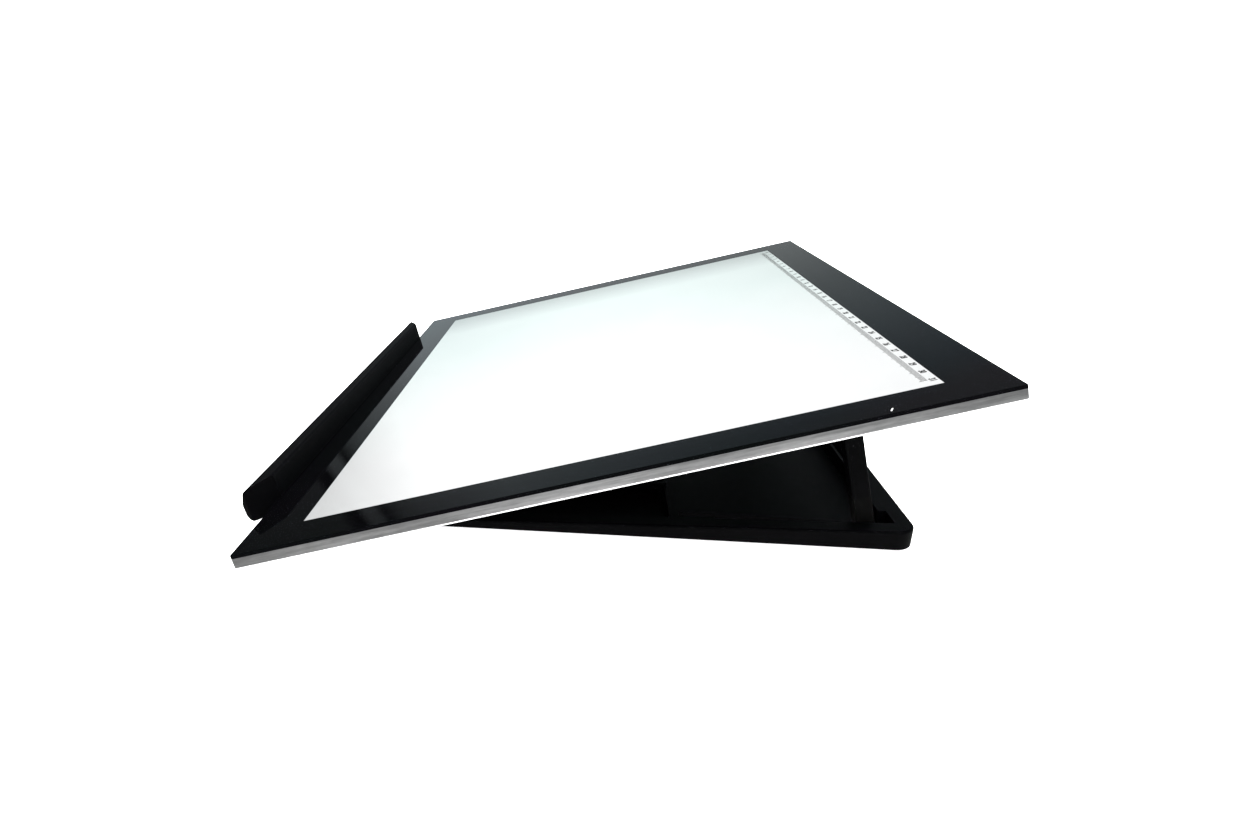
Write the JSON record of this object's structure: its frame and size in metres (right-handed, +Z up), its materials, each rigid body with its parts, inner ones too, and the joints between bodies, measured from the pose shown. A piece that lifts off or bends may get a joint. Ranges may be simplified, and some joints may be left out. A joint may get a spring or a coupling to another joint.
{
  "type": "light box on a folding stand",
  "caption": "Flat edge-lit tracing pad with a black glass bezel and white window, lying on a tilted folding stand with a front lip.",
  "frame": {"origin": "on the table, under the middle of the whole object's bounding box", "axes": "+X to the user's right along the front lip, +Y away from the user, +Z up"},
  "size_m": [0.36, 0.27, 0.0888],
  "materials": {
    "bezel_glass": "polished glass, printed black round a clear white-lit window",
    "black_tape": "matte adhesive tape",
    "diffuser": "opal white, lit from below",
    "prism_film": "micro-prism film",
    "light_guide": "clear acrylic with a printed dot pattern",
    "reflector": "white reflective film",
    "circuit_board": "green solder resist",
    "led_package": "white package with yellow phosphor",
    "flex_film": "amber polyimide film",
    "chip_black": "moulded chip packages",
    "copper_pad": "bare copper",
    "black_foam": "conductive foam",
    "plated_steel": "nickel-plated",
    "silver_rail": "satin anodised",
    "key_plastic": "moulded nylon",
    "white_cover": "fine-textured white",
    "soft_rubber": "soft black rubber",
    "black_plastic": "fine satin moulded black plastic",
    "steel_rod": "drawn steel wire"
  },
  "bodies": {
    "base": {"base_tray": "black_plastic", "base_feet": "soft_rubber"},
    "hinge_rod": {"hinge_rod": "steel_rod"},
    "rest_plate": {"rest_plate": "black_plastic", "grip_pads": "soft_rubber", "prop_rod": "steel_rod"},
    "prop": {"prop_frame": "black_plastic", "prop_feet": "soft_rubber"},
    "pad": {"front_glass": "bezel_glass", "glass_tape": "black_tape", "diffuser_sheet": "diffuser", "prism_film": "prism_film", "light_guide": "light_guide", "reflector_sheet": "reflector", "led_strip": "circuit_board", "led_chips": "led_package", "flex_lead": "flex_film", "control_board": "circuit_board", "board_chips": "chip_black", "touch_electrode": "copper_pad", "touch_spring": "black_foam", "power_jack": "plated_steel", "jack_tongue": "chip_black", "rail_front": "silver_rail", "rail_rear": "silver_rail", "rail_left": "silver_rail", "rail_right": "silver_rail", "corner_keys": "key_plastic", "cover_screws": "plated_steel", "back_cover": "white_cover", "pad_feet": "soft_rubber"}
  },
  "joints": [
    {"name": "stand_fold", "type": "hinge", "parent": "base", "child": "hinge_rod", "pos_m": [0, -0.11878, 0.0041], "axis": [1, 0, 0], "range_deg": [-14.4, 0]},
    {"name": "plate_lift", "type": "hinge", "parent": "hinge_rod", "child": "rest_plate", "pos_m": [0, -0.11878, 0.0041], "axis": [1, 0, 0], "range_deg": [0, 20]},
    {"name": "prop_swing", "type": "hinge", "parent": "rest_plate", "child": "prop", "pos_m": [0, 0.09615, 0.06236], "axis": [1, 0, 0], "range_deg": [-90, 0]},
    {"name": "pad_lift", "type": "slide", "parent": "rest_plate", "child": "pad", "axis": [0, -0.2874, 0.9578], "range_m": [0, 0.05]}
  ],
  "couplings": [
    {"joint": "prop_swing", "follows": "stand_fold", "ratio": 6.25}
  ]
}
